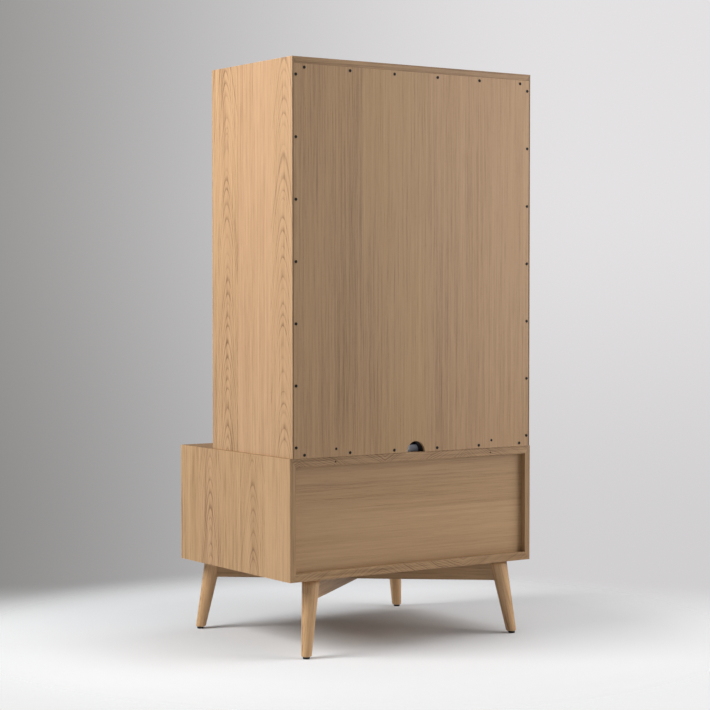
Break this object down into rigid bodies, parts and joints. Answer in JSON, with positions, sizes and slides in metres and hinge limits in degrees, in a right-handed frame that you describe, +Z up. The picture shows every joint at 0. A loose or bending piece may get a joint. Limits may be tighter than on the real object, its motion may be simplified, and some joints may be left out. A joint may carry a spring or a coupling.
{
  "type": "armoire",
  "caption": "Oak armoire: tall cabinet with hinged doors, rod and shelf on a deeper case with runner drawers, on splayed turned legs with a crossed stretcher.",
  "frame": {"origin": "on the floor, below the middle of the whole armoire's box", "axes": "+X towards the right-hand door as seen from the front, +Y towards the back, +Z up"},
  "size_m": [0.912, 0.6902, 1.784],
  "materials": {
    "oak_veneer": "satin lacquered light oak veneer",
    "oak_back": "matte oak veneered board",
    "solid_oak": "satin lacquered turned oak",
    "grey_laminate": "matte grey laminate",
    "birch_ply": "clear lacquered birch plywood",
    "bright_steel": "zinc plated steel",
    "brass": "satin brass",
    "black_screw": "black oxide",
    "black_plastic": "moulded black plastic"
  },
  "bodies": {
    "cabinet": {"upper_side_left": "oak_veneer", "upper_side_right": "oak_veneer", "upper_top": "oak_veneer", "upper_bottom": "grey_laminate", "upper_rail_top": "oak_back", "upper_rail_bottom": "grey_laminate", "back_panel": "oak_back", "back_screws": "black_screw", "shelf": "grey_laminate", "shelf_pins": "bright_steel", "hanging_rod": "bright_steel", "rod_sockets": "bright_steel", "hinge_leaves_case": "brass", "hinge_pins": "brass", "hinge_screws_case": "brass", "catch_magnets": "black_plastic", "lower_side_left": "oak_veneer", "lower_side_right": "oak_veneer", "lower_top": "oak_veneer", "lower_bottom": "oak_veneer", "lower_back": "oak_back", "mitre_splines": "birch_ply", "case_bolts": "bright_steel", "runners_case": "bright_steel", "leg_front_left": "solid_oak", "leg_front_right": "solid_oak", "leg_rear_left": "solid_oak", "leg_rear_right": "solid_oak", "stretcher_left": "solid_oak", "stretcher_right": "solid_oak", "base_fixings": "bright_steel", "leg_glides": "black_plastic"},
    "left_door": {"door_left": "oak_veneer", "hinge_leaves_left": "brass", "hinge_screws_left": "brass", "catch_plate_left": "bright_steel", "door_knob_left": "solid_oak", "door_knob_screws_left": "bright_steel"},
    "right_door": {"door_right": "oak_veneer", "hinge_leaves_right": "brass", "hinge_screws_right": "brass", "catch_plate_right": "bright_steel", "door_knob_right": "solid_oak", "door_knob_screws_right": "bright_steel"},
    "upper_drawer": {"drawer_front_upper": "oak_veneer", "drawer_sides_upper": "birch_ply", "drawer_back_upper": "birch_ply", "drawer_bottom_upper": "grey_laminate", "drawer_runners_upper": "bright_steel", "drawer_knobs_upper": "solid_oak", "drawer_knob_screws_upper": "bright_steel"},
    "upper_drawer_slide": {"runners_mid_upper": "bright_steel"},
    "lower_drawer": {"drawer_front_lower": "oak_veneer", "drawer_sides_lower": "birch_ply", "drawer_back_lower": "birch_ply", "drawer_bottom_lower": "grey_laminate", "drawer_runners_lower": "bright_steel", "drawer_knobs_lower": "solid_oak", "drawer_knob_screws_lower": "bright_steel"},
    "lower_drawer_slide": {"runners_mid_lower": "bright_steel"}
  },
  "joints": [
    {"name": "left_door_hinge", "type": "hinge", "parent": "cabinet", "child": "left_door", "pos_m": [-0.429, -0.1275, 1.192], "axis": [0, 0, -1], "range_deg": [0, 165]},
    {"name": "right_door_hinge", "type": "hinge", "parent": "cabinet", "child": "right_door", "pos_m": [0.429, -0.1275, 1.192], "axis": [0, 0, 1], "range_deg": [0, 165]},
    {"name": "upper_drawer_slide_out", "type": "slide", "parent": "cabinet", "child": "upper_drawer", "axis": [0, -1, 0], "range_m": [0, 0.45]},
    {"name": "upper_slide_mid", "type": "slide", "parent": "cabinet", "child": "upper_drawer_slide", "axis": [0, -1, 0], "range_m": [0, 0.225]},
    {"name": "lower_drawer_slide_out", "type": "slide", "parent": "cabinet", "child": "lower_drawer", "axis": [0, -1, 0], "range_m": [0, 0.45]},
    {"name": "lower_slide_mid", "type": "slide", "parent": "cabinet", "child": "lower_drawer_slide", "axis": [0, -1, 0], "range_m": [0, 0.225]}
  ],
  "couplings": [
    {"joint": "upper_slide_mid", "follows": "upper_drawer_slide_out", "ratio": 0.5},
    {"joint": "lower_slide_mid", "follows": "lower_drawer_slide_out", "ratio": 0.5}
  ]
}
